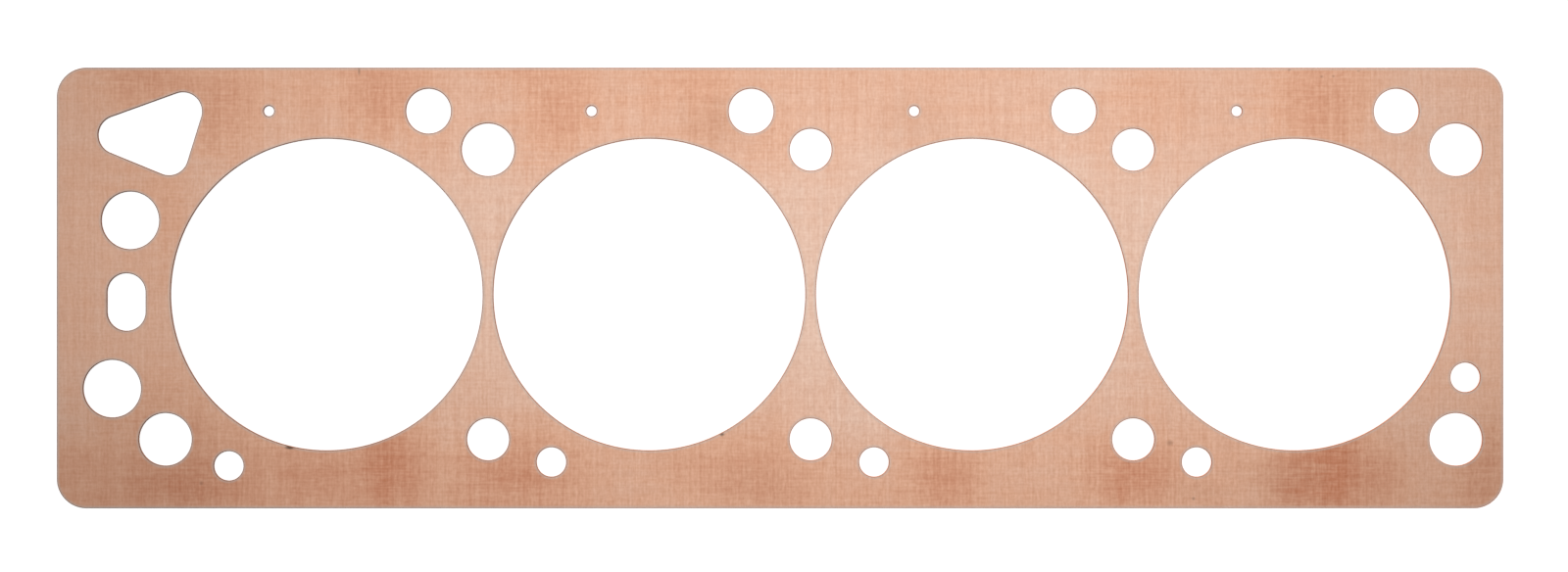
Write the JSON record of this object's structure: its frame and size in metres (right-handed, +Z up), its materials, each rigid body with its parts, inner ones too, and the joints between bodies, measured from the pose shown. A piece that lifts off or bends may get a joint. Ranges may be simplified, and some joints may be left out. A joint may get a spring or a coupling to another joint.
{
  "type": "cylinder head gasket",
  "caption": "Flat copper cylinder head gasket: a round-cornered sheet cut with a row of large cylinder bores, head bolt holes, and passages for oil and water.",
  "frame": {"origin": "under the middle of the sheet's outline, on its lower face", "axes": "+X along the row of bores, +Y to the edge with the drain holes, +Z up out of the sheet"},
  "size_m": [0.558, 0.17, 0.0011],
  "materials": {
    "copper": "satin"
  },
  "bodies": {
    "root": {"copper_gasket": "copper"}
  },
  "joints": []
}
